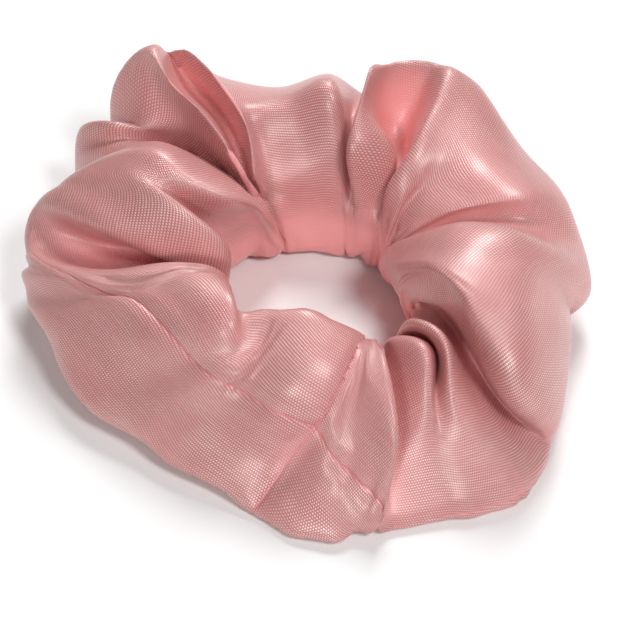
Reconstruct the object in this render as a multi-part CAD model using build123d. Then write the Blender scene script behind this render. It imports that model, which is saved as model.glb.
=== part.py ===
"""A satin scrunchie: a sewn fabric tube gathered on a loop of flat elastic, with the threads of its seams.

Units are millimetres. +Z is up through the ring's opening, and the origin is the centre of the ring on the
surface it rests on. The gathered tube is a plain hollow ring here, of the gathered tube's true size.
"""

import math
import os

from build123d import *

# The cut strip of satin, and what the sewing leaves of it.
STRIP_LENGTH = 432.0
STRIP_WIDTH = 96.0
SEAM_ALLOWANCE = 6.0
SATIN_THICKNESS = 0.2
LOOP_LENGTH = STRIP_LENGTH - 2 * SEAM_ALLOWANCE

# The gathered ring.
OPENING_RADIUS = 20.0
OUTER_RADIUS = 56.0
HEIGHT = 36.0
EQUATOR_HEIGHT = 16.0
CROWN_RADIUS = 38.0
GRIP_LOW, GRIP_HIGH = 8.0, EQUATOR_HEIGHT
FOOT_INNER_RADIUS, FOOT_OUTER_RADIUS = 30.0, 44.0

# Gathering puts this much more cloth in the ring than a flat layer would, so the wall is that much thicker.
MEAN_RADIUS = (OPENING_RADIUS + OUTER_RADIUS) / 2
WALL = SATIN_THICKNESS * LOOP_LENGTH / (2 * math.pi * MEAN_RADIUS)
SEAM_PLIES = 2 * WALL

# The elastic: one cut length, its ends lapped and stitched.
ELASTIC_RADIUS = 27.0
ELASTIC_WIDTH = 6.0
ELASTIC_THICKNESS = 1.0
ELASTIC_LAP = 12.0
ELASTIC_HEIGHT = 10.0
PLY_GAP = 0.04
LAP_ANGLE = math.degrees(ELASTIC_LAP / ELASTIC_RADIUS)
RAMP_ANGLE = 30.0

# Sewing thread and stitches.
THREAD = 0.25
CLEARANCE = 0.03
STITCH = 2.5
FLOAT_SHARE = 0.72
STITCH_INSET = 0.6
CLOSING_STITCHES = 7
CLOSING_STITCH = 1.6
CLOSED_FROM, CLOSED_TO = 25.0, 85.0
CROSSING_CLEARANCE = SEAM_PLIES / 2 + THREAD + 2 * CLEARANCE
ZIGZAG_LEGS = 11
ZIGZAG_WIDTH = 4.2

# The cross seam's place round the ring, from +X, and the share of it that is closed by hand.
CROSS_SEAM_ANGLE = 262.0
HAND_CLOSED_SHARE = 0.25


def ring_section(inset=0.0):
    """The gathered tube's section in the XZ plane, drawn in by inset on every side."""
    inner, outer = OPENING_RADIUS + inset, OUTER_RADIUS - inset
    top, bottom = HEIGHT - inset, inset
    with BuildSketch(Plane.XZ) as section:
        with BuildLine():
            Line((inner, GRIP_LOW), (inner, GRIP_HIGH))
            crown, outer_foot = (CROWN_RADIUS, GRIP_HIGH), (FOOT_OUTER_RADIUS, GRIP_HIGH)
            EllipticalCenterArc(crown, CROWN_RADIUS - inner, top - GRIP_HIGH, 90, arc_size=90)
            EllipticalCenterArc(crown, outer - CROWN_RADIUS, top - GRIP_HIGH, 0, arc_size=90)
            EllipticalCenterArc(outer_foot, outer - FOOT_OUTER_RADIUS, GRIP_HIGH - bottom, 270, arc_size=90)
            Line((FOOT_OUTER_RADIUS, bottom), (FOOT_INNER_RADIUS, bottom))
            inner_foot = (FOOT_INNER_RADIUS, GRIP_LOW)
            EllipticalCenterArc(inner_foot, FOOT_INNER_RADIUS - inner, GRIP_LOW - bottom, 180, arc_size=90)
        make_face()
    return section.sketch


def seam_frame():
    """Turns what is drawn at the +X side of the ring to the cross seam's place."""
    return Rotation(0, 0, CROSS_SEAM_ANGLE)


def satin_tube():
    """The strip sewn into a tube and joined end to end, with its allowances turned inside."""
    skin = revolve(ring_section(), Axis.Z) - revolve(ring_section(WALL), Axis.Z)
    long_allowance = Cylinder(OUTER_RADIUS - WALL / 2, SEAM_PLIES) - Cylinder(
        OUTER_RADIUS - SEAM_ALLOWANCE, SEAM_PLIES
    )
    ends = extrude(
        ring_section(WALL / 2) - ring_section(WALL + SEAM_ALLOWANCE - 1), SEAM_PLIES / 2, both=True
    )
    return skin + Pos(0, 0, EQUATOR_HEIGHT) * long_allowance + seam_frame() * ends


def rod(middle, direction, length):
    """One straight run of thread lying along direction."""
    return Plane(middle, z_dir=direction) * Cylinder(THREAD / 2, length)


def long_seam_thread(side):
    """One thread of the long seam's lockstitch, above its allowance (side 1) or below it (side -1)."""
    radius = OUTER_RADIUS - WALL - STITCH_INSET
    count = round(LOOP_LENGTH / STITCH)
    start = math.degrees(CROSSING_CLEARANCE / radius)
    turn = (360 - 2 * start) / count
    height = EQUATOR_HEIGHT + side * (SEAM_PLIES / 2 + THREAD / 2 + CLEARANCE)
    stitch = rod((radius, 0, height), (0, 1, 0), FLOAT_SHARE * radius * math.radians(turn))
    places = (CROSS_SEAM_ANGLE + start + (i + 0.5) * turn for i in range(count))
    return Compound([Rotation(0, 0, a) * stitch for a in places])


def cross_seam_thread(side):
    """One thread of the machine-sewn part of the cross seam, on that side of the end allowances."""
    line = ring_section(WALL + STITCH_INSET).faces()[0].outer_wire()
    count = round(line.length / STITCH)
    sewn = round(count * (1 - HAND_CLOSED_SHARE))
    off = Vector(0, side * (SEAM_PLIES / 2 + THREAD / 2 + CLEARANCE), 0)
    start = line.param_at_point((CROWN_RADIUS, 0, HEIGHT - WALL - STITCH_INSET))
    step = 1 if (line @ ((start + 0.01) % 1)).X > CROWN_RADIUS else -1
    stitches = []
    for i in range(sewn):
        at = (start + step * (i + 0.5) / count) % 1
        middle = line @ at
        crosses_long_seam = abs(middle.Z - EQUATOR_HEIGHT) < CROSSING_CLEARANCE + STITCH / 2
        if not (crosses_long_seam and middle.X > CROWN_RADIUS):
            stitches.append(seam_frame() * rod(middle + off, line % at, FLOAT_SHARE * STITCH))
    return Compound(stitches)


def closing_stitches():
    """The hand stitches that close the turning gap, as short rungs across the seam on the outside."""
    rungs = []
    for i in range(CLOSING_STITCHES):
        turn = math.radians(CLOSED_FROM + (CLOSED_TO - CLOSED_FROM) * (i + 0.5) / CLOSING_STITCHES)
        rise, run = HEIGHT - GRIP_HIGH, CROWN_RADIUS - OPENING_RADIUS
        on_skin = Vector(CROWN_RADIUS - run * math.cos(turn), 0, GRIP_HIGH + rise * math.sin(turn))
        outward = Vector(-rise * math.cos(turn), 0, run * math.sin(turn)).normalized()
        middle = on_skin + outward * (THREAD / 2 + CLEARANCE)
        rungs.append(seam_frame() * rod(middle, (0, 1, 0), CLOSING_STITCH))
    return Compound(rungs)


def elastic_centre(angle):
    """Radius of the strip's middle at that angle from its inner end, as it ramps out over its own start."""
    lap_radius = ELASTIC_RADIUS + ELASTIC_THICKNESS + PLY_GAP
    along = min(max((angle - (360 - RAMP_ANGLE)) / (RAMP_ANGLE - 4), 0), 1)
    return ELASTIC_RADIUS + (lap_radius - ELASTIC_RADIUS) * along * along * (3 - 2 * along)


def elastic_edge(offset):
    """Points along one face of the strip, from its inner end to its outer end."""
    steps = 96
    turns = [(360 + LAP_ANGLE) * i / steps for i in range(steps + 1)]
    return [
        (
            (elastic_centre(a) + offset) * math.cos(math.radians(a)),
            (elastic_centre(a) + offset) * math.sin(math.radians(a)),
        )
        for a in turns
    ]


def elastic_band():
    """The flat elastic standing on edge, one end lapped over the other."""
    inner, outer = elastic_edge(-ELASTIC_THICKNESS / 2), elastic_edge(ELASTIC_THICKNESS / 2)
    with BuildSketch() as strip:
        with BuildLine():
            Spline(*inner)
            Line(inner[-1], outer[-1])
            Spline(*reversed(outer))
            Line(outer[0], inner[0])
        make_face()
    band = extrude(strip.sketch, ELASTIC_WIDTH / 2, both=True)
    return Pos(0, 0, ELASTIC_HEIGHT) * band


def lap_thread(radius):
    """One thread of the zigzag that joins the lapped ends, on the face at that radius."""
    legs = []
    for i in range(ZIGZAG_LEGS):
        turn = math.radians(LAP_ANGLE * (0.12 + 0.76 * (i + 0.5) / ZIGZAG_LEGS))
        step = 0.76 * ELASTIC_LAP / ZIGZAG_LEGS
        slant = (ZIGZAG_WIDTH if i % 2 else -ZIGZAG_WIDTH) * FLOAT_SHARE
        middle = Vector(radius * math.cos(turn), radius * math.sin(turn), ELASTIC_HEIGHT)
        along = Vector(-step * math.sin(turn), step * math.cos(turn), slant)
        legs.append(rod(middle, along, along.length))
    return Compound(legs)


def main():
    """Builds each piece and writes it to its own STEP file."""
    inside = ELASTIC_RADIUS - ELASTIC_THICKNESS / 2 - THREAD / 2 - CLEARANCE
    outside = ELASTIC_RADIUS + 1.5 * ELASTIC_THICKNESS + PLY_GAP + THREAD / 2 + CLEARANCE
    pieces = {
        "satin_tube": satin_tube(),
        "long_seam_needle_thread": long_seam_thread(1),
        "long_seam_bobbin_thread": long_seam_thread(-1),
        "cross_seam_needle_thread": cross_seam_thread(1),
        "cross_seam_bobbin_thread": cross_seam_thread(-1),
        "closing_stitches": closing_stitches(),
        "elastic_band": elastic_band(),
        "elastic_lap_needle_thread": lap_thread(outside),
        "elastic_lap_bobbin_thread": lap_thread(inside),
    }
    os.makedirs("parts", exist_ok=True)
    for name, piece in pieces.items():
        export_step(piece, f"parts/{name}.step")


main()
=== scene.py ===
"""A gathered satin scrunchie: the sewn tube's real shape, its threads and materials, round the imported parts.

The tube's folds are laid out as a row of closed sections (STATIONS). A small cloth solver then settles that
shape lightly: it takes up a small share of the difference from the cut cloth's own lengths, with bending,
contact, the floor and the elastic, and keeps near the laid-out folds. Lengths are millimetres until the meshes
are made, which are in metres.
"""

import math

import bpy
import numpy as np
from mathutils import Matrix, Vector


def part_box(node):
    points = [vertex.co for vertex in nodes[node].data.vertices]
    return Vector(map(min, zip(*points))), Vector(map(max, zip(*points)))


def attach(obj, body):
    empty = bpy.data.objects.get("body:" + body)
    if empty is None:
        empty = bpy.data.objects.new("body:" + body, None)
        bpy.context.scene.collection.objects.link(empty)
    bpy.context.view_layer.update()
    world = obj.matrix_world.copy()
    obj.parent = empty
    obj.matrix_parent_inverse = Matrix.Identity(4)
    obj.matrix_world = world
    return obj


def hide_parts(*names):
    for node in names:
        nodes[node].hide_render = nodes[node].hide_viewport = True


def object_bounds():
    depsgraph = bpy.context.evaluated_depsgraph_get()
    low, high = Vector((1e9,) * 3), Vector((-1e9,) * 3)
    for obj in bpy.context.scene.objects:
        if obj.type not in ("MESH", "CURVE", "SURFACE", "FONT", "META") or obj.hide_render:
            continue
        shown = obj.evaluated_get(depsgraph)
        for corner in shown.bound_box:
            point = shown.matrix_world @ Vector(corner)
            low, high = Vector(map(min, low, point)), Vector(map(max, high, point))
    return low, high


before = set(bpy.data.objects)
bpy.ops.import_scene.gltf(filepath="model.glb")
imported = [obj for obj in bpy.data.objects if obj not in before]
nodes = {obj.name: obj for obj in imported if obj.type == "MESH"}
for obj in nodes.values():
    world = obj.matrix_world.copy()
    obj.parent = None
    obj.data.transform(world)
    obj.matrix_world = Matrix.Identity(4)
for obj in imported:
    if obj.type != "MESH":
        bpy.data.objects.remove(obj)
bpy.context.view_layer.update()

MM = 0.001
TINY = 1e-9  # keeps a zero length from being divided by

# ------------------------------------------------------------------------------------------- the cut cloth
LOOP = 420.0  # sewn length round the ring
ROUND = 84.0  # sewn perimeter of the tube
SATIN = 0.2  # thickness of the cloth
ROWS, COLUMNS = 280, 56  # the solver's grid: sections round the ring, points round each
SEED = 11

# Each station is one closed section of the tube: inner lip, upper inner, crown, upper outer and rim, each as
# (angle round the ring in degrees, radius, height), then where the long seam lies among the section's points.
STATIONS = (
    # front: the cross seam and the broad flat panel left of it
    ((301, 22, 22), (287, 29, 24), (277, 35, 19.5), (267, 37.5, 10.5), (257, 46, 1.5), 3.45),
    ((292, 20, 25), (278, 26, 27), (265, 33, 22), (257, 37, 12), (249, 44, 3), 3.38),
    ((273, 17, 28), (265, 22, 28), (254, 29, 23), (241, 36, 13), (233, 44, 4), 3.42),
    ((245, 18, 28), (250, 24, 25), (242, 31, 22), (226, 38, 13), (215, 46, 4.5), 3.17),
    ((232, 20, 27), (244, 26, 25.5), (234, 30, 24), (216, 38, 14), (207, 49, 6), 3.3),
    ((223, 19, 28), (236, 25, 29), (222, 30, 26), (205, 40, 17), (198, 51, 8), 3.26),
    ((212, 17.5, 26.5), (215, 23, 29.5), (204, 29, 26.5), (194, 41, 20.5), (188, 53, 11), 3.45),
    ((203, 16.5, 24), (201, 23, 28), (196, 32, 24.5), (188, 44, 19.5), (180, 56.3, 11), 3.55),
    ((198, 16.2, 23), (196, 23.5, 27.5), (192, 34, 25), (183, 47, 21.5), (174.5, 57.6, 14), 3.85),
    # its upper edge, the deep pocket behind that, and the flap's lip over the pocket
    ((194, 16, 22), (190, 24, 26.5), (188, 36, 24.5), (178, 50, 20), (171, 57.8, 16), 4.3),
    ((177, 18, 15), (170, 29, 16), (169, 42, 12.5), (169.5, 52, 14), (168.2, 60, 17), 4.85),
    ((166, 19, 15), (161, 29, 16), (160.5, 42, 15), (163, 52, 17.5), (165.2, 61.5, 18.5), 5.15),
    ((179, 16, 16.5), (174.5, 24, 20), (172.5, 33, 23.5), (169.5, 43, 25.5), (162.5, 61, 20), 5.4),
    ((165, 15, 22), (167, 21, 29.5), (164, 30, 32.5), (162, 42, 29), (159.8, 59, 21), 5.6),
    ((148, 24.3, 15), (153, 25, 23), (160, 30, 33.5), (157, 39, 34), (157.5, 54.5, 23), 5.75),
    ((124, 21.5, 18.5), (143, 16, 30), (152, 26, 35.5), (149, 36, 37), (154.5, 51, 25), 5.75),
    # behind the flap, and the low knob of cloth outside it
    ((108, 21, 9.5), (119, 21, 21), (132, 27, 28), (139, 41, 30), (150, 53, 19), 5.75),
    ((106, 23.5, 8), (112, 26, 16), (124, 44, 17), (138, 52, 23), (143, 61, 15), 5.75),
    ((106, 24, 8), (114, 26, 17), (126, 45, 21), (138, 54, 27), (139, 64, 19.5), 5.75),
    # the upper left lobe, its lip, and the deep crease beside that
    ((109, 24, 8), (117, 27, 21), (125, 44, 26), (133, 51, 25.5), (135, 59, 17), 5.75),
    ((110, 24, 8), (118, 27, 25), (124, 44, 33), (127, 56, 37), (131, 62, 27), 5.75),
    ((111, 24, 8), (120, 28, 26), (122, 37, 33), (126.5, 46, 37), (123.5, 57, 38.5), 5.75),
    ((110, 24.3, 7), (115, 28, 19), (113, 40, 24.5), (117, 52, 28), (121, 58, 34.5), 5.75),
    ((107, 24.3, 6), (113, 26, 22), (111, 32, 29), (113, 39, 34), (118, 54, 37), 5.75),
    # the back lobe
    ((100, 24, 4), (105, 27, 16), (106, 34, 25), (109, 40, 31), (111, 55, 27), 5.75),
    ((87, 23.5, 3), (91, 26, 17), (93, 33, 26), (96, 40, 31), (97, 55, 19), 5.75),
    ((72, 24, 4), (74, 26, 17), (78, 33, 29), (82, 40, 35.5), (84, 54, 23), 5.75),
    ((67, 24.3, 4), (69, 27, 16), (74, 35, 21), (76, 42, 26), (76, 55, 19), 5.75),
    # the narrow standing fold, the pocket right of it, and the lobe's lip over the pocket
    ((56, 24.3, 4), (64, 26, 18), (71, 27, 29), (72, 34, 34), (72, 45, 36), 5.7),
    ((54, 24.3, 4), (56, 29, 19), (59, 34, 27), (69, 37.5, 31.5), (71, 47, 35.5), 5.7),
    ((53, 24.3, 5), (54, 28.5, 17), (60, 37.5, 17.5), (68, 44, 22.5), (67, 52, 34.5), 5.7),
    ((50, 24.3, 5), (52, 28.5, 17), (57, 38, 17.5), (63, 47, 22), (61.5, 54, 34.5), 5.7),
    ((47, 24.2, 6), (52, 27, 21), (51, 33, 28), (53.5, 43, 33), (56, 55.5, 34), 5.75),
    ((44, 23.5, 9), (45, 26.5, 20), (45, 34, 27.5), (48, 45, 31), (51, 58.5, 29), 5.75),
    # the big smooth lobe on the right, with a soft fold over it
    ((41, 23, 10), (43, 27, 18), (39, 34, 24), (35, 44, 27), (38, 59, 18), 5.75),
    ((38, 22, 12), (30, 28, 20), (21, 36, 26), (17, 47, 28), (23, 59, 17), 5.75),
    ((36, 21, 13), (28, 29, 18.5), (20, 36, 23), (13, 46, 23), (13, 59, 13), 5.75),
    ((34, 19.5, 14), (14, 22.5, 25), (5, 32, 31), (0, 44, 29.5), (5, 58.5, 9), 5.75),
    ((19, 17.5, 16), (358, 22.5, 27), (348, 32, 32), (351, 45, 28), (1, 53.5, 9), 5.3),
    ((1, 18, 17), (343, 25, 30), (334, 36, 32), (336, 47, 27), (349, 54, 10), 5.2),
    ((355, 19, 17), (339, 29, 29.5), (326, 39, 28.5), (322, 51, 24), (331, 57, 8), 5.2),
    ((354, 22, 14), (335, 31, 24), (328, 38, 22), (321, 50, 17), (328, 57, 5), 5.1),
    # the deep valley below its lip
    ((2, 21.5, 12), (346, 26, 18), (335, 34, 16), (326.5, 44, 12), (324.5, 57.5, 4), 4.97),
    ((348, 21.5, 13), (331, 31, 18.5), (325, 37, 16.5), (319, 46.5, 13), (319, 58.3, 3), 4.93),
    # the curl and the front right panel
    ((320, 23.5, 18), (319, 27, 25.5), (318, 35, 27), (312, 43, 18), (313, 58, 2), 4.93),
    ((321, 23.5, 15), (328, 26, 15), (326, 31, 16.5), (308, 41, 16), (306, 56.5, 2), 4.93),
    ((311, 24, 19), (314, 30, 25), (311.5, 35, 25), (303, 43, 13.5), (300, 54, 1.5), 4.93),
    ((309, 22.5, 15), (299, 30.5, 15), (293, 38, 11.5), (289, 45.5, 7), (287, 52, 1.5), 4.85),
    ((304, 24, 22), (298, 33, 24.5), (294, 42, 21), (291, 47, 15.5), (284, 52, 2), 4.55),
    ((303, 24, 22), (292, 32, 25), (286, 39.5, 18.5), (281, 45.5, 9.5), (277, 53, 1.5), 3.86),
    ((302, 22.5, 22), (290, 30, 24), (281, 37, 18.5), (274, 43, 9.5), (267, 50.8, 1.5), 3.6),
)

# ------------------------------------------------------------------------------------------- laying it out


def point(place):
    """A station's place (angle, radius, height) as a point."""
    angle, radius, height = math.radians(place[0]), place[1], place[2]
    return (radius * math.cos(angle), radius * math.sin(angle), height)


def spline(knots, at, length, want):
    """A closed Catmull-Rom spline through knots that lie at the lengths at, read at the lengths want."""
    count = len(knots)
    here = np.clip(np.searchsorted(at, want, side="right") - 1, 0, count - 1)
    after, before, beyond = (here + 1) % count, (here - 1) % count, (here + 2) % count
    t1 = at[here]
    t2 = np.where(after > 0, at[after], length)
    t0 = np.where(here > 0, at[before], at[before] - length)
    t3 = np.where(beyond > after, at[beyond], at[beyond] + length)
    t3 = np.where(after == 0, at[beyond] + length, t3)
    form = (-1,) + (1,) * (knots.ndim - 1)
    span = (t2 - t1).reshape(form)
    f = ((want - t1) / (t2 - t1)).reshape(form)
    slope1 = (knots[after] - knots[before]) / (t2 - t0).reshape(form) * span
    slope2 = (knots[beyond] - knots[here]) / (t3 - t1).reshape(form) * span
    f2, f3 = f * f, f * f * f
    return (
        (2 * f3 - 3 * f2 + 1) * knots[here]
        + (f3 - 2 * f2 + f) * slope1
        + (3 * f2 - 2 * f3) * knots[after]
        + (f3 - f2) * slope2
    )


def lengths(knots, power=1.0):
    """Where each knot lies along the closed line, and the line's whole length.

    The distances between knots are raised to power, so 0.5 keeps a spline from overshooting where they differ.
    """
    step = np.linalg.norm(np.roll(knots, -1, 0) - knots, axis=-1)
    if step.ndim > 1:
        step = np.sqrt((step**2).mean(axis=1))
    at = np.concatenate([[0], np.cumsum(step**power)])
    return at[:-1], at[-1]


def read(line, want):
    """Points of a closed line at the lengths want along it."""
    along, whole = lengths(line)
    line, along = np.vstack([line, line[:1]]), np.append(along, whole)
    return np.stack([np.interp(want, along, line[:, k]) for k in range(3)], axis=1)


def section(station, count):
    """One closed section, as count points evenly round it from the long seam.

    The two points under the tube follow from the lip, clear of the elastic, and from the rim.
    """
    lip, rim = station[0], station[4]
    foot_in = (lip[0], min(max(lip[1] + 3, 23.5), 24.3), 3 if lip[2] > 6 else 1.2)
    foot_out = (rim[0], rim[1] - (6 if rim[2] > 17 else 9), max(0.6, 0.3 * rim[2] - 3))
    knots = np.array([point(p) for p in (foot_in, *station[:5], foot_out)])
    at, whole = lengths(knots, 0.5)
    start = np.interp(station[5], range(len(knots) + 1), np.append(at, whole))
    fine = 400
    line = spline(knots, at, whole, (start + np.arange(fine) / fine * whole) % whole)
    return read(line, np.arange(count) / count * lengths(line)[1])


def laid_out(n, m):
    """The tube as an n by m grid of points: n sections round the ring, m points round each."""
    sections = np.array([section(s, m) for s in STATIONS])
    at, whole = lengths(sections)
    return spline(sections, at, whole, np.arange(n) / n * whole)


def smooth(grid, sigma, axis):
    """Gaussian smoothing round a closed axis, sigma in grid steps."""
    f = np.fft.rfftfreq(grid.shape[axis]) * 2 * np.pi
    form = [1] * grid.ndim
    form[axis] = -1
    gain = np.exp(-0.5 * (f * sigma) ** 2).reshape(form)
    return np.fft.irfft(np.fft.rfft(grid, axis=axis) * gain, grid.shape[axis], axis=axis)


def spaced(length):
    """Places along a closed length, 1 mm apart and closer beside the seam at its start."""
    near = (0.0, 0.22, 0.45, 0.7, 1.0, 1.4, 1.9, 2.5, 3.2)
    return np.array([*near, *np.arange(4.0, length - 3.5, 1.0), *(length - v for v in near[:0:-1])])


def refined(grid, places):
    """The same closed surface on a finer grid, at the given shares of each of its two lengths."""
    for axis in (0, 1):
        old = grid.shape[axis]
        g = np.moveaxis(grid, axis, 0)
        g = spline(g, np.arange(old, dtype=float), float(old), places[axis] * old)
        grid = np.moveaxis(g, 0, axis)
    return grid


# ---------------------------------------------------------------------------------------- the cloth solver


def close_pairs(points, reach, n, m):
    """Pairs of grid points nearer than reach that lie more than three grid steps apart in the cloth.

    Space is cut into cells as wide as reach, and only points in the same or neighbouring cells are compared.
    """
    size = 256  # more cells than the cloth spans each way
    cell = np.floor(points / reach).astype(np.int64) + size // 4
    key = (cell[:, 0] * size + cell[:, 1]) * size + cell[:, 2]
    order = np.argsort(key, kind="stable")
    ranked = key[order]
    first, second = [], []
    for dx in (-1, 0, 1):
        for dy in (-1, 0, 1):
            for dz in (-1, 0, 1):
                off = (dx * size + dy) * size + dz
                if off < 0:
                    continue
                low = np.searchsorted(ranked, key + off, "left")
                count = np.searchsorted(ranked, key + off, "right") - low
                i = np.repeat(np.arange(len(points)), count)
                if not len(i):
                    continue
                run = np.arange(len(i)) - np.repeat(np.cumsum(count) - count, count)
                j = order[np.repeat(low, count) + run]
                if off == 0:
                    keep = i < j
                    i, j = i[keep], j[keep]
                first.append(i)
                second.append(j)
    i, j = np.concatenate(first), np.concatenate(second)
    di, dj = np.abs(i // m - j // m), np.abs(i % m - j % m)
    di, dj = np.minimum(di, n - di), np.minimum(dj, m - dj)
    keep = (di > 3) | (dj > 3)
    i, j = i[keep], j[keep]
    keep = ((points[i] - points[j]) ** 2).sum(1) < reach * reach
    return i[keep], j[keep]


STRETCH, SHEAR = 0.45, 0.12  # stiffness along the threads and across them
DAMPING = 0.85  # share of its speed that the cloth keeps from step to step
SAG = 0.004  # what gravity adds to each step
TOP_SPEED = 0.5
LAYER_PUSH = 0.35  # share of an overlap between two layers that one pass takes out
PASSES = 2  # in each step
PAIRS_EVERY = 5  # steps between one search for touching layers and the next
GROWTH = 1.6  # the cut lengths are taken up in the first 1 / 1.6 of the steps
FLOOR = 0.3  # height of the lowest layer's middle


def settle(start, steps, hold, take_up, bend, gap):
    """Cloth simulation: lets the laid-out tube settle towards the cut cloth's own lengths.

    hold is how strongly each point is kept to the laid-out shape, at first and at last. take_up is the share
    of the difference between the laid-out and the cut lengths that the cloth takes up, round the ring and
    round the tube. bend is its bending stiffness, and gap the distance kept between layers.
    """
    n, m, _ = start.shape
    ds, dt = LOOP / n, ROUND / m
    cloth = start.copy()
    speed = np.zeros_like(cloth)
    diagonal = math.hypot(ds, dt)
    links = [
        (1, 0, ds, STRETCH, take_up[0]),
        (0, 1, dt, STRETCH, take_up[1]),
        (1, 1, diagonal, SHEAR, take_up[0]),
        (1, -1, diagonal, SHEAR, take_up[0]),
        (2, 0, 2 * ds, bend, take_up[0]),
        (0, 2, 2 * dt, bend, take_up[1]),
    ]
    first = [np.linalg.norm(np.roll(start, (-a, -b), (0, 1)) - start, axis=2) for a, b, *_ in links]
    for step in range(steps):
        f = step / (steps - 1)
        grown = min(1.0, f * GROWTH)
        before = cloth.copy()
        cloth = cloth + speed * DAMPING
        cloth[..., 2] -= SAG
        cloth += (hold[0] * (1 - f) + hold[1] * f) * (start - cloth)
        for _ in range(PASSES):
            push = np.zeros_like(cloth)
            for (a, b, rest, stiff, share), was in zip(links, first):
                want = was * (1 - grown * share) + rest * grown * share
                d = np.roll(cloth, (-a, -b), (0, 1)) - cloth
                long = np.linalg.norm(d, axis=2) + TINY
                c = 0.5 * stiff * (long - want) / long
                if 2 in (a, b):  # bending only pushes apart
                    c = np.minimum(c, 0.0)
                c = c[..., None] * d
                push += c - np.roll(c, (a, b), (0, 1))
            cloth = cloth + push
            flat = cloth.reshape(-1, 3)
            if step % PAIRS_EVERY == 0:
                pairs = close_pairs(flat, gap + 1.0, n, m)
            d = flat[pairs[0]] - flat[pairs[1]]
            long = np.linalg.norm(d, axis=1) + TINY
            hit = long < gap
            i, j = pairs[0][hit], pairs[1][hit]
            c = (LAYER_PUSH * (gap - long[hit]) / long[hit])[:, None] * d[hit]
            for k in range(3):
                flat[:, k] += np.bincount(i, c[:, k], len(flat)) - np.bincount(j, c[:, k], len(flat))
            cloth = flat.reshape(n, m, 3)
            cloth[..., 2] = np.maximum(cloth[..., 2], FLOOR)
            cloth = off_elastic(cloth)
        speed = cloth - before
        fast = np.linalg.norm(speed, axis=2, keepdims=True)
        speed *= np.minimum(1.0, TOP_SPEED / (fast + TINY))
    return cloth


elastic_low, elastic_high = (np.array(v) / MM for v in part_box("elastic_band"))
ELASTIC_OUT = float(elastic_high[0])
ELASTIC_IN = ELASTIC_OUT - 2.1  # room for its two plies where it laps
ELASTIC_MIDDLE = (ELASTIC_IN + ELASTIC_OUT) / 2
ELASTIC_RISE = float(elastic_low[2] + elastic_high[2]) / 2
CLEAR = 1.3  # from the elastic to the cloth


def off_elastic(cloth):
    """Keeps every point of the cloth out of the elastic's own space."""
    half_r = (ELASTIC_OUT - ELASTIC_IN) / 2 + CLEAR
    half_z = float(elastic_high[2] - elastic_low[2]) / 2 + CLEAR
    r = np.hypot(cloth[..., 0], cloth[..., 1])
    u, v = r - ELASTIC_MIDDLE, cloth[..., 2] - ELASTIC_RISE
    inside = (np.abs(u) < half_r) & (np.abs(v) < half_z)
    sideways = inside & (half_r - np.abs(u) < half_z - np.abs(v))
    upright = inside & ~sideways
    to = np.where(sideways, ELASTIC_MIDDLE + np.sign(u) * half_r, r)
    cloth[..., 0] *= to / r
    cloth[..., 1] *= to / r
    cloth[..., 2] = np.where(upright, ELASTIC_RISE + np.sign(v) * half_z, cloth[..., 2])
    return cloth


def normals(grid):
    """Unit normals of a closed grid, all on the same side."""
    a = np.roll(grid, -1, 0) - np.roll(grid, 1, 0)
    b = np.roll(grid, -1, 1) - np.roll(grid, 1, 1)
    out = np.cross(a, b)
    return out / (np.linalg.norm(out, axis=2, keepdims=True) + TINY)


def near_tip(grid, after, reach):
    """How near each place is, 1 to 0, to where the long seam turns over the cloth's leftmost edge.

    Its middle lies that many rows after the seam's leftmost point. reach is in grid steps, along and across.
    """
    n, m = grid.shape[:2]
    i = np.argmin(grid[:, 0, 0]) + after
    along = np.abs((np.arange(n) - i + n / 2) % n - n / 2) / reach[0]
    across = np.abs((np.arange(m) + m / 2) % m - m / 2) / reach[1]
    return np.clip(1.6 * np.exp(-(along[:, None] ** 2) - across[None, :] ** 2), 0, 1)[..., None]


# The laid-out shape, with shallow random dents: each pair is their reach in grid steps and their depth.
rough = smooth(smooth(laid_out(ROWS, COLUMNS), 0.55, 0), 0.45, 1)
rng = np.random.default_rng(SEED)
dents = 0
for reach, deep in ((4.5, 1.3), (2.2, 0.35)):
    random = smooth(smooth(rng.normal(size=rough.shape[:2]), reach, 0), reach, 1)
    dents = dents + deep * random / np.abs(random).max()
rough = rough + normals(rough) * dents[..., None]
rough[..., 2] = np.maximum(rough[..., 2], FLOOR)
settled = settle(rough, steps=120, hold=(0.14, 0.09), take_up=(0.06, 0.12), bend=0.35, gap=1.2)

# The sections bunch up at the leftmost edge, so the cloth is smoothed there.
tip = near_tip(settled, 4, (13, 9))
for _ in range(3):
    settled = settled * (1 - tip) + smooth(smooth(settled, 2.2, 0), 1.0, 1) * tip

along_mm, round_mm = spaced(LOOP), spaced(ROUND)
N, M = len(along_mm), len(round_mm)
SHARES = (along_mm / LOOP, round_mm / ROUND)
tube = refined(settled, SHARES)
tube[..., 2] = np.maximum(tube[..., 2], FLOOR / 2)

OUTWARD = 1.0 if ((tube - tube.mean(1, keepdims=True)) * normals(tube)).sum() > 0 else -1.0
out = normals(tube) * OUTWARD

# --------------------------------------------------------------------------------------------------- seams


def drawn(places, length, sigma):
    """A smooth random line round a closed length, about -1 to 1, read at those places."""
    count = int(length)
    line = smooth(rng.normal(size=count), sigma, 0)
    line /= np.abs(line).max()
    return np.interp(places, np.arange(count + 1), np.append(line, line[0]))


def sewn(away, pucker):
    """How far a seam pulls the cloth in (negative) or puffs it up, at a distance away from its stitches.

    The stitches make a sharp groove in a wider hollow, with a low shoulder beside it, and puckers across it.
    """
    pull = -0.4 * np.exp(-((away / 0.35) ** 2)) - 0.25 * np.exp(-((away / 1.6) ** 2))
    return pull + 0.25 * np.exp(-(((away - 2.6) / 1.4) ** 2)) + pucker * np.exp(-((away / 3.4) ** 2))


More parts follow.
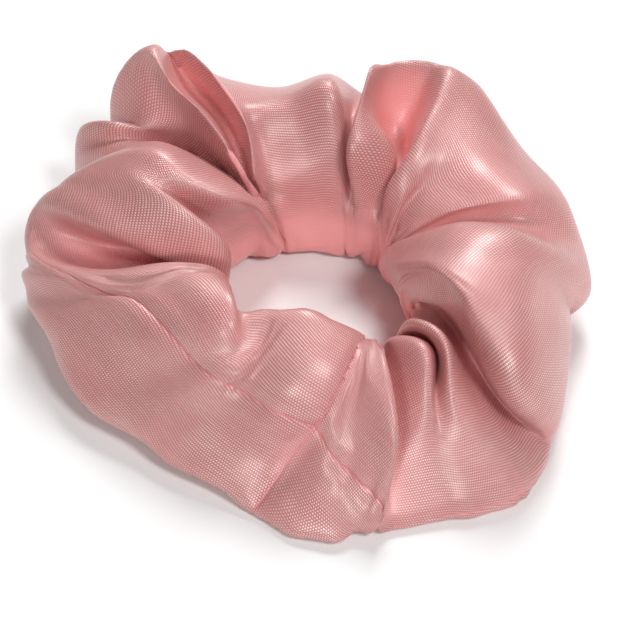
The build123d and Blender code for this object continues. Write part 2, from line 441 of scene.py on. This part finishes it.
def folded(reach):
    """How deep each point lies, -1 on a crest to 1 in a fold: how far outside it the smoothed cloth is."""
    wide = smooth(smooth(settled, reach * ROWS / LOOP, 0), reach * COLUMNS / ROUND, 1)
    return np.clip(((refined(wide, SHARES) - tube) * out).sum(2) / reach, -1, 1)


# Seams show less on sharp folds and at the leftmost edge, and more along the ruffled rim at the front right.
flatness = np.clip(1.5 - 6 * np.abs(folded(2.0)), 0.15, 1)
rim_seam = np.interp(SHARES[0], (0, 0.82, 0.86, 0.94, 0.97, 1), (0, 0, 0.6, 0.6, 0, 0))[:, None]
flatness = np.maximum(flatness, rim_seam)
flatness *= 1 - 0.9 * refined(tip, SHARES)[..., 0]
ruffled = np.interp(SHARES[0], (0, 0.03, 0.8, 0.87, 0.95, 1), (0.45, 0.15, 0.3, 1.3, 1.3, 0.45))
from_long = np.minimum(round_mm, ROUND - round_mm)[None, :]
from_cross = np.minimum(along_mm, LOOP - along_mm)[:, None]
shift = sewn(from_long, (ruffled * drawn(along_mm, LOOP, 1.0))[:, None])
shift = (shift + sewn(from_cross, 0.3 * drawn(round_mm, ROUND, 1.2)[None, :])) * flatness
tube = tube + out * shift[..., None]
tube[..., 2] = np.maximum(tube[..., 2], SATIN)
out = normals(tube) * OUTWARD

# Painted shade: how red each place looks, from 0 on a crest to 1 in a fold. A brighter coral stands in for the
# light bounced and shone through the cloth in shade. The low wall round the opening lies in shade and counts as
# a fold.
painted_fold_shade = 0.5 + 0.5 * np.clip(0.7 * folded(5.0) + 0.5 * folded(9.0), -1, 1)
radius = np.hypot(tube[..., 0], tube[..., 1])
opening_shade = np.clip((16 - tube[..., 2]) / 8, 0, 1) * np.clip((30 - radius) / 4, 0, 1)
painted_fold_shade = np.maximum(painted_fold_shade, 0.5 + 0.3 * opening_shade)

# -------------------------------------------------------------------------------------------------- meshes


def mesh_object(name, points, faces):
    """A smooth-shaded object from points in millimetres."""
    mesh = bpy.data.meshes.new(name)
    mesh.from_pydata([tuple(p) for p in points * MM], [], faces)
    mesh.validate()
    mesh.shade_smooth()
    piece = bpy.data.objects.new(name, mesh)
    bpy.context.scene.collection.objects.link(piece)
    return piece


def grid_faces(n, m, first, flip):
    """The quads of a grid that closes both ways, its points numbered from first."""
    i, j = np.meshgrid(np.arange(n), np.arange(m), indexing="ij")
    a, b = i * m + j, (i + 1) % n * m + j
    c, d = (i + 1) % n * m + (j + 1) % m, i * m + (j + 1) % m
    faces = np.stack([a, b, c, d], -1).reshape(-1, 4) + first
    return faces[:, ::-1] if flip else faces


facing = np.cross(tube[1, 0] - tube[0, 0], tube[0, 1] - tube[0, 0]) @ out[0, 0] > 0
outer, inner = tube + out * SATIN / 2, tube - out * SATIN / 2
faces = np.vstack([grid_faces(N, M, 0, not facing), grid_faces(N, M, N * M, facing)])
cover = mesh_object("satin_cover", np.vstack([outer.reshape(-1, 3), inner.reshape(-1, 3)]), faces.tolist())

uv = cover.data.uv_layers.new(name="cloth_mm")
loops = np.zeros(len(cover.data.loops), int)
cover.data.loops.foreach_get("vertex_index", loops)
at = loops % (N * M)


def flat_place(index, places, length):
    """Each corner's place along one closed length of the cloth, running on past its end where a face wraps."""
    per = index.reshape(-1, 4)
    wraps = (per.max(1, keepdims=True) - per.min(1, keepdims=True) > 2) & (per < 2)
    return (places[per] + length * wraps).ravel()


u, v = flat_place(at // M, along_mm, LOOP), flat_place(at % M, round_mm, ROUND)
uv.data.foreach_set("uv", np.stack([u, v], 1).ravel())
# The painted shade of the folds goes on the cover as a point attribute.
depth = cover.data.attributes.new("painted_fold_shade", "FLOAT", "POINT")
depth.data.foreach_set("value", np.tile(painted_fold_shade.ravel(), 2))

# ----------------------------------------------------------------------------------------------- materials


class Nodes:
    """Short ways to build a material's node tree."""

    def __init__(self, name):
        self.material = bpy.data.materials.new(name)
        self.material.use_nodes = True
        self.tree = self.material.node_tree
        self.tree.nodes.clear()
        self.shader = self.node("ShaderNodeBsdfPrincipled")
        output = self.node("ShaderNodeOutputMaterial")
        self.link(self.shader.outputs[0], output.inputs[0])

    def node(self, kind, **settings):
        made = self.tree.nodes.new(kind)
        for key, value in settings.items():
            setattr(made, key, value)
        return made

    def link(self, a, b):
        self.tree.links.new(a, b)

    def put(self, socket, value):
        if hasattr(value, "is_output"):
            self.link(value, socket)
        else:
            socket.default_value = value

    def math(self, operation, *values, clamp=False):
        made = self.node("ShaderNodeMath", operation=operation, use_clamp=clamp)
        for socket, value in zip(made.inputs, values):
            self.put(socket, value)
        return made.outputs[0]

    def ramp(self, value, low, high, to_low=0.0, to_high=1.0):
        made = self.node("ShaderNodeMapRange", interpolation_type="SMOOTHSTEP")
        for socket, v in zip(made.inputs, (value, low, high, to_low, to_high)):
            self.put(socket, v)
        return made.outputs[0]

    def mix(self, factor, a, b):
        made = self.node("ShaderNodeMix", data_type="RGBA")
        self.put(made.inputs[0], factor)
        self.put(made.inputs[6], a)
        self.put(made.inputs[7], b)
        return made.outputs[2]

    def noise(self, vector, scale, detail=2.0):
        made = self.node("ShaderNodeTexNoise")
        self.put(made.inputs["Vector"], vector)
        made.inputs["Scale"].default_value = scale
        made.inputs["Detail"].default_value = detail
        return made.outputs[0]

    def mapped(self, vector, turn, scale):
        made = self.node("ShaderNodeMapping")
        self.link(vector, made.inputs[0])
        made.inputs["Rotation"].default_value = (0, 0, math.radians(turn))
        made.inputs["Scale"].default_value = scale
        return made.outputs[0]

    def parts(self, vector):
        made = self.node("ShaderNodeSeparateXYZ")
        self.link(vector, made.inputs[0])
        return made.outputs

    def set(self, **values):
        for name, value in values.items():
            self.put(self.shader.inputs[name.replace("_", " ")], value)

    def bump(self, height, strength, distance):
        made = self.node("ShaderNodeBump")
        made.inputs["Strength"].default_value = strength
        made.inputs["Distance"].default_value = distance
        self.link(height, made.inputs["Height"])
        self.link(made.outputs[0], self.shader.inputs["Normal"])


def rgb(r, g, b):
    return (r, g, b, 1.0)


WEAVE_PITCH = 0.45  # from one float to the next
WEAVE_TURN = 9.0  # degrees from the cloth's length, as the strip isn't cut quite straight
# The first colour is painted shade: the brighter coral of light bounced and shone through the cloth in the
# folds.
PAINTED_SHADE_CORAL, SEAM_LINE = rgb(1.0, 0.42, 0.42), rgb(0.84, 0.27, 0.28)


def satin():
    """Woven satin: rows of short floats, painted bright as glints, over a coral ground, with painted coral
    shade in the folds and redder along the seams.
    """
    n = Nodes("satin_weave")
    cloth = n.node("ShaderNodeUVMap", uv_map="cloth_mm").outputs[0]

    # The floats: soft round spots, each row half a pitch on from the row before.
    x, y, _ = n.parts(n.mapped(cloth, WEAVE_TURN, (1 / WEAVE_PITCH, 1 / WEAVE_PITCH, 1)))
    row = n.math("FLOOR", y)
    x = n.math("ADD", x, n.math("MULTIPLY", row, 0.5))
    dx = n.math("SUBTRACT", n.math("FRACT", x), 0.5)
    dy = n.math("SUBTRACT", n.math("FRACT", y), 0.5)
    flat_x = n.math("POWER", n.math("MULTIPLY", dx, 1.05), 2.0)
    flat_y = n.math("POWER", n.math("MULTIPLY", dy, 1.15), 2.0)
    float_top = n.ramp(n.math("SQRT", n.math("ADD", flat_x, flat_y)), 0.55, 0.15)

    # Their colour and the ground's, with streaks along the threads and cloudy patches. The floats' lighter
    # cream is partly the tint of their metallic shine and partly a painted glint.
    streak = n.noise(n.mapped(cloth, WEAVE_TURN, (0.12, 2.2, 1)), 1.0, 2.0)
    cloudy = n.noise(cloth, 0.05, 2.0)
    glinting_floats = n.mix(n.ramp(streak, 0.3, 0.7), rgb(0.94, 0.63, 0.59), rgb(1.0, 0.82, 0.77))
    ground = n.mix(n.ramp(cloudy, 0.3, 0.7), rgb(0.52, 0.15, 0.15), rgb(0.64, 0.21, 0.21))
    # Painted highlight: the floats' cream shows in broad mottled patches, and their shine follows the same
    # patches.
    mottled_highlight = n.ramp(n.noise(cloth, 0.075, 1.5), 0.38, 0.62, 0.68, 1.0)
    base = n.mix(n.math("MULTIPLY", float_top, n.math("MULTIPLY", mottled_highlight, 0.92)), ground, glinting_floats)
    # Painted shade: the folds and the shaded low wall round the opening are painted coral.
    painted_fold_shade = n.node("ShaderNodeAttribute", attribute_name="painted_fold_shade").outputs[2]
    base = n.mix(n.ramp(painted_fold_shade, 0.48, 0.8, 0.0, 0.85), base, PAINTED_SHADE_CORAL)

    # A thin, slightly wavy red line along each seam.
    u, v, _ = n.parts(cloth)
    wobble = n.math("MULTIPLY", n.math("SUBTRACT", n.noise(cloth, 0.7, 2.0), 0.5), 0.35)
    lines = []
    for place, length in ((u, LOOP), (v, ROUND)):
        away = n.math("PINGPONG", n.math("ADD", place, wobble), length / 2)
        lines.append(n.ramp(n.math("ABSOLUTE", away), 0.34, 0.1))
    seam = n.math("MAXIMUM", *lines)
    base = n.mix(n.math("MULTIPLY", seam, 0.7), base, SEAM_LINE)

    # The shine, which lies on the floats and is weak in the folds.
    sheen = n.math("MULTIPLY", float_top, n.ramp(painted_fold_shade, 0.45, 0.9, 0.62, 0.08))
    sheen = n.math("MULTIPLY", sheen, mottled_highlight)
    n.set(Base_Color=base, Metallic=sheen, Roughness=0.4, Anisotropic=0.45, IOR=1.6)
    n.set(Specular_IOR_Level=0.6, Sheen_Weight=0.08, Sheen_Roughness=0.4)
    n.shader.inputs["Sheen Tint"].default_value = rgb(1.0, 0.85, 0.8)
    n.set(Coat_Weight=0.35, Coat_Roughness=0.33, Coat_IOR=1.6)
    n.bump(float_top, 0.6, 0.0001)
    tangent = n.node("ShaderNodeTangent", direction_type="UV_MAP", uv_map="cloth_mm")
    n.link(tangent.outputs[0], n.shader.inputs["Tangent"])
    return n.material


THREAD_TWIST = 900.0  # the wave's scale, for a band about every 0.7 mm


def thread_material(name, light, dark):
    """Spun sewing thread: two plies twisted together."""
    n = Nodes(name)
    where = n.node("ShaderNodeTexCoord").outputs["Object"]
    wave = n.node("ShaderNodeTexWave", wave_type="BANDS", bands_direction="DIAGONAL")
    n.link(where, wave.inputs["Vector"])
    wave.inputs["Scale"].default_value = THREAD_TWIST
    wave.inputs["Distortion"].default_value = 1.5
    base = n.mix(wave.outputs[1], dark, light)
    n.set(Base_Color=base, Roughness=0.55, Sheen_Weight=0.3)
    n.bump(wave.outputs[1], 0.5, 0.00004)
    return n.material


RIB_PITCH = 0.0006
BRAID_ROUND, BRAID_UP = 260.0, 5200.0  # how fast the braid runs round the ring and up it


def elastic_material():
    """Flat braided elastic: fine ribs along its length crossed by the braid."""
    n = Nodes("braided_elastic")
    where = n.node("ShaderNodeTexCoord").outputs["Object"]
    x, y, z = n.parts(where)
    turn = n.math("ARCTAN2", y, x)
    ribs = n.math("SINE", n.math("MULTIPLY", z, 2 * math.pi / RIB_PITCH))
    slant = n.math("ADD", n.math("MULTIPLY", turn, BRAID_ROUND), n.math("MULTIPLY", z, BRAID_UP))
    braid = n.math("SINE", slant)
    both = n.math("MULTIPLY_ADD", ribs, 0.6, n.math("MULTIPLY", braid, 0.4))
    base = n.mix(n.ramp(both, -0.8, 0.8), rgb(0.62, 0.61, 0.58), rgb(0.9, 0.89, 0.86))
    n.set(Base_Color=base, Roughness=0.7, Sheen_Weight=0.2)
    n.bump(both, 0.6, 0.0001)
    return n.material


satin_look = satin()
thread_look = thread_material("pink_thread", rgb(0.85, 0.5, 0.5), rgb(0.6, 0.28, 0.29))
white_thread = thread_material("white_thread", rgb(0.9, 0.89, 0.87), rgb(0.6, 0.58, 0.55))
elastic_look = elastic_material()


def wear(piece, look):
    """Gives a piece its one material."""
    piece.data.materials.clear()
    piece.data.materials.append(look)


wear(cover, satin_look)
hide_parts("satin_tube")
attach(cover, "cover")

# ------------------------------------------------------------------------------------------------- threads
THREAD = 0.25
SIDES = 6
DRAWN_IN = 0.55  # width of a run's ends
STITCH = 2.5
RUN = (-0.36, -0.27, -0.12, 0.12, 0.27, 0.36)  # a run's points, as shares of a stitch from its middle
SEWN_SHARE = 0.75  # how much of the cross seam is sewn by machine
CLOSED = range(62, 76, 2)  # the closing stitches' places, in millimetres round the tube
CLOSING_ROWS = (-3, -2, -1, 0, 1, 2, 3)  # the rows of the mesh that each of them crosses
CLOSING_HEIGHT = 0.2


def stitches(name, runs, replaced):
    """Short runs of thread, each a six-sided rod along its own points with drawn-in ends."""
    points, faces = [], []
    for run in runs:
        along = np.gradient(run, axis=0)
        along /= np.linalg.norm(along, axis=1, keepdims=True)
        side = np.cross(along, (0.0, 0.0, 1.0) if abs(along[0, 2]) < 0.9 else (1.0, 0.0, 0.0))
        side /= np.linalg.norm(side, axis=1, keepdims=True)
        up = np.cross(side, along)
        first, last = len(points), len(run) - 1
        for i, middle in enumerate(run):
            wide = THREAD / 2 * (DRAWN_IN if i in (0, last) else 1.0)
            for k in range(SIDES):
                a = 2 * math.pi * k / SIDES
                points.append(middle + (side[i] * math.cos(a) + up[i] * math.sin(a)) * wide)
        for i in range(last):
            ring = first + i * SIDES
            for k in range(SIDES):
                a, b = ring + k, ring + (k + 1) % SIDES
                faces.append((a, b, b + SIDES, a + SIDES))
        faces.append(tuple(first + k for k in reversed(range(SIDES))))
        faces.append(tuple(first + last * SIDES + k for k in range(SIDES)))
    piece = mesh_object(name, np.array(points), faces)
    wear(piece, thread_look)
    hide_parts(replaced)
    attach(piece, "cover")


def seam_runs(line, normal, depth, share=1.0):
    """A row of stitches along the first share of a closed line of the cloth, that deep inside it."""
    line = line - normal * depth
    whole = lengths(line)[1]
    count = int(whole / STITCH)
    reach = np.array(RUN) * STITCH
    return [read(line, ((i + 0.5) / count * whole + reach) % whole) for i in range(int(count * share))]


for deep, kind in ((0.3, "needle"), (0.57, "bobbin")):
    runs = seam_runs(tube[:, 0], out[:, 0], deep)
    stitches(f"long_seam_{kind}_stitches", runs, f"long_seam_{kind}_thread")
    runs = seam_runs(tube[0], out[0], deep, SEWN_SHARE)
    stitches(f"cross_seam_{kind}_stitches", runs, f"cross_seam_{kind}_thread")

columns = [int(np.argmin(np.abs(round_mm - v))) for v in CLOSED]
runs = [tube[CLOSING_ROWS, j] + out[CLOSING_ROWS, j] * CLOSING_HEIGHT for j in columns]
stitches("closing_prick_stitches", runs, "closing_stitches")

wear(nodes["elastic_band"], elastic_look)
for kind in ("needle", "bobbin"):
    wear(nodes[f"elastic_lap_{kind}_thread"], white_thread)

# --------------------------------------------------------------------------------------------------- stage
scene = bpy.context.scene
low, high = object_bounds()
centre = (low + high) / 2

floor_mesh = bpy.data.meshes.new("floor")
floor_mesh.from_pydata([(-3, -3, 0), (3, -3, 0), (3, 3, 0), (-3, 3, 0)], [], [(0, 1, 2, 3)])
floor = bpy.data.objects.new("floor", floor_mesh)
scene.collection.objects.link(floor)
paper = Nodes("pale_floor")
paper.set(Base_Color=rgb(0.95, 0.95, 0.95), Roughness=0.9)
floor.data.materials.append(paper.material)

world = bpy.data.worlds.new("studio")
scene.world = world
world.use_nodes = True
background = world.node_tree.nodes["Background"]
background.inputs["Color"].default_value = rgb(1.0, 1.0, 1.0)
background.inputs["Strength"].default_value = 0.14

LAMP_DISTANCE = 0.9


def lamp(name, azimuth, elevation, size, power):
    """A round lamp aimed at the scrunchie, its azimuth in degrees from the camera's side towards +X."""
    data = bpy.data.lights.new(name, "AREA")
    data.shape = "DISK"
    data.size = size
    data.energy = power
    made = bpy.data.objects.new(name, data)
    a, e = math.radians(azimuth), math.radians(elevation)
    back = (math.sin(a) * math.cos(e), -math.cos(a) * math.cos(e), math.sin(e))
    made.location = [c + b * LAMP_DISTANCE for c, b in zip(centre, back)]
    made.rotation_mode = "QUATERNION"
    made.rotation_quaternion = (-Vector(back)).to_track_quat("-Z", "Y")
    scene.collection.objects.link(made)


lamp("key", 42, 55, 0.24, 3.5)
lamp("front", -16, 32, 0.16, 2.1)
lamp("back", 170, 50, 0.36, 5.8)

CAMERA_DISTANCE, CAMERA_RISE = 0.4, math.radians(48)
AIM = (0.001, 0.0, 0.00906)

camera_data = bpy.data.cameras.new("camera")
camera = bpy.data.objects.new("camera", camera_data)
scene.collection.objects.link(camera)
scene.camera = camera
camera_data.sensor_width = 36
camera_data.lens = 115
camera.location = (
    AIM[0],
    AIM[1] - CAMERA_DISTANCE * math.cos(CAMERA_RISE),
    AIM[2] + CAMERA_DISTANCE * math.sin(CAMERA_RISE),
)
camera.rotation_euler = (math.pi / 2 - CAMERA_RISE, 0, 0)
scene.view_settings.view_transform = "Standard"
